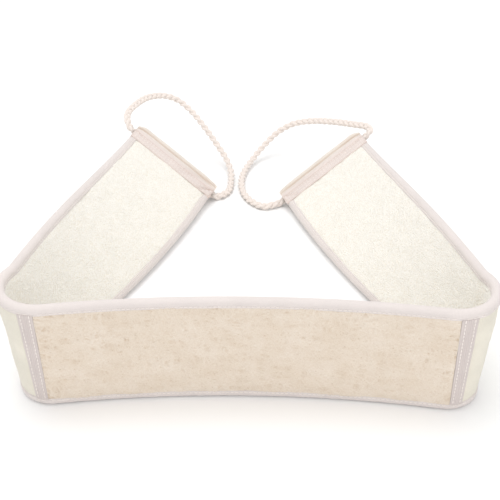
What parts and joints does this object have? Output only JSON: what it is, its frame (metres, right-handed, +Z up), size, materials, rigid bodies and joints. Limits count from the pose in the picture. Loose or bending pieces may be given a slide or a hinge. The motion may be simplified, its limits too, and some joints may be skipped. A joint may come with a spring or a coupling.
{
  "type": "loofah back scrubber",
  "caption": "Long padded washing strap with a loofah panel, terry backing, bound edges and a braided rope loop at each end, standing on edge in a folded loop.",
  "frame": {"origin": "on the resting surface, under the middle of the loofah panel's bottom edge", "axes": "+X towards the right arm, +Y from the loofah panel towards the rope handles, +Z up"},
  "size_m": [0.3407, 0.3986, 0.0903],
  "materials": {
    "loofah": "coarse natural fibre",
    "foam": "soft foam",
    "terry": "short terry loops",
    "cover_cloth": "plain woven cotton",
    "binding": "folded cotton tape",
    "tape": "ribbed cotton tape",
    "hem": "folded cotton tape",
    "rope": "braided cotton",
    "thread": "twisted cotton thread"
  },
  "bodies": {
    "strap_centre": {"loofah_panel": "loofah", "foam_centre": "foam", "terry_centre": "terry", "top_binding_centre": "binding", "bottom_binding_centre": "binding", "stitching_centre": "thread"},
    "left_bend_near": {"left_edge_tape": "tape", "left_bend_cover": "cover_cloth", "left_bend_foam": "foam", "left_bend_terry": "terry"},
    "left_bend_far": {"left_bend_top_binding": "binding", "left_bend_bottom_binding": "binding", "left_bend_stitching": "thread"},
    "right_bend_near": {"right_edge_tape": "tape", "right_bend_cover": "cover_cloth", "right_bend_foam": "foam", "right_bend_terry": "terry"},
    "right_bend_far": {"right_bend_top_binding": "binding", "right_bend_bottom_binding": "binding", "right_bend_stitching": "thread"},
    "left_arm": {"left_arm_cover": "cover_cloth", "left_arm_foam": "foam", "left_arm_terry": "terry", "left_arm_top_binding": "binding", "left_arm_bottom_binding": "binding", "left_arm_stitching": "thread", "left_hem_casing": "hem", "left_hem_stitching": "thread"},
    "right_arm": {"right_arm_cover": "cover_cloth", "right_arm_foam": "foam", "right_arm_terry": "terry", "right_arm_top_binding": "binding", "right_arm_bottom_binding": "binding", "right_arm_stitching": "thread", "right_hem_casing": "hem", "right_hem_stitching": "thread"},
    "left_handle": {"left_rope_loop": "rope", "left_rope_in_hem": "rope", "left_rope_whipping": "thread"},
    "right_handle": {"right_rope_loop": "rope", "right_rope_in_hem": "rope", "right_rope_whipping": "thread"}
  },
  "joints": [
    {"name": "left_fold_near", "type": "hinge", "parent": "strap_centre", "child": "left_bend_near", "pos_m": [-0.1475, -0.01435, 0], "axis": [0, 0, 1], "range_deg": [0, 40.5], "deforming": ["left_edge_tape", "left_bend_cover", "left_bend_foam", "left_bend_terry", "left_bend_top_binding", "left_bend_bottom_binding", "left_bend_stitching"]},
    {"name": "left_fold_middle", "type": "hinge", "parent": "left_bend_near", "child": "left_bend_far", "pos_m": [-0.16098, -0.00226, 0], "axis": [0, 0, 1], "range_deg": [0, 40.5]},
    {"name": "left_fold_far", "type": "hinge", "parent": "left_bend_far", "child": "left_arm", "pos_m": [-0.16335, 0.0157, 0], "axis": [0, 0, 1], "range_deg": [0, 40.5]},
    {"name": "right_fold_near", "type": "hinge", "parent": "strap_centre", "child": "right_bend_near", "pos_m": [0.14716, -0.01421, 0], "axis": [0, 0, -1], "range_deg": [0, 41.5], "deforming": ["right_edge_tape", "right_bend_cover", "right_bend_foam", "right_bend_terry", "right_bend_top_binding", "right_bend_bottom_binding", "right_bend_stitching"]},
    {"name": "right_fold_middle", "type": "hinge", "parent": "right_bend_near", "child": "right_bend_far", "pos_m": [0.15967, -0.0022, 0], "axis": [0, 0, -1], "range_deg": [0, 41.5]},
    {"name": "right_fold_far", "type": "hinge", "parent": "right_bend_far", "child": "right_arm", "pos_m": [0.16104, 0.01508, 0], "axis": [0, 0, -1], "range_deg": [0, 41.5]},
    {"name": "left_rope_swing", "type": "hinge", "parent": "left_arm", "child": "left_handle", "pos_m": [-0.07824, 0.28244, 0.03236], "axis": [0.7775, -0.2235, -0.5878], "range_deg": [0, 100]},
    {"name": "right_rope_swing", "type": "hinge", "parent": "right_arm", "child": "right_handle", "pos_m": [0.05879, 0.2753, 0.03084], "axis": [0.7834, 0.2858, 0.5519], "range_deg": [0, 100]}
  ],
  "couplings": [
    {"joint": "left_fold_middle", "follows": "left_fold_near", "ratio": 1},
    {"joint": "left_fold_far", "follows": "left_fold_near", "ratio": 1},
    {"joint": "right_fold_middle", "follows": "right_fold_near", "ratio": 1},
    {"joint": "right_fold_far", "follows": "right_fold_near", "ratio": 1}
  ]
}
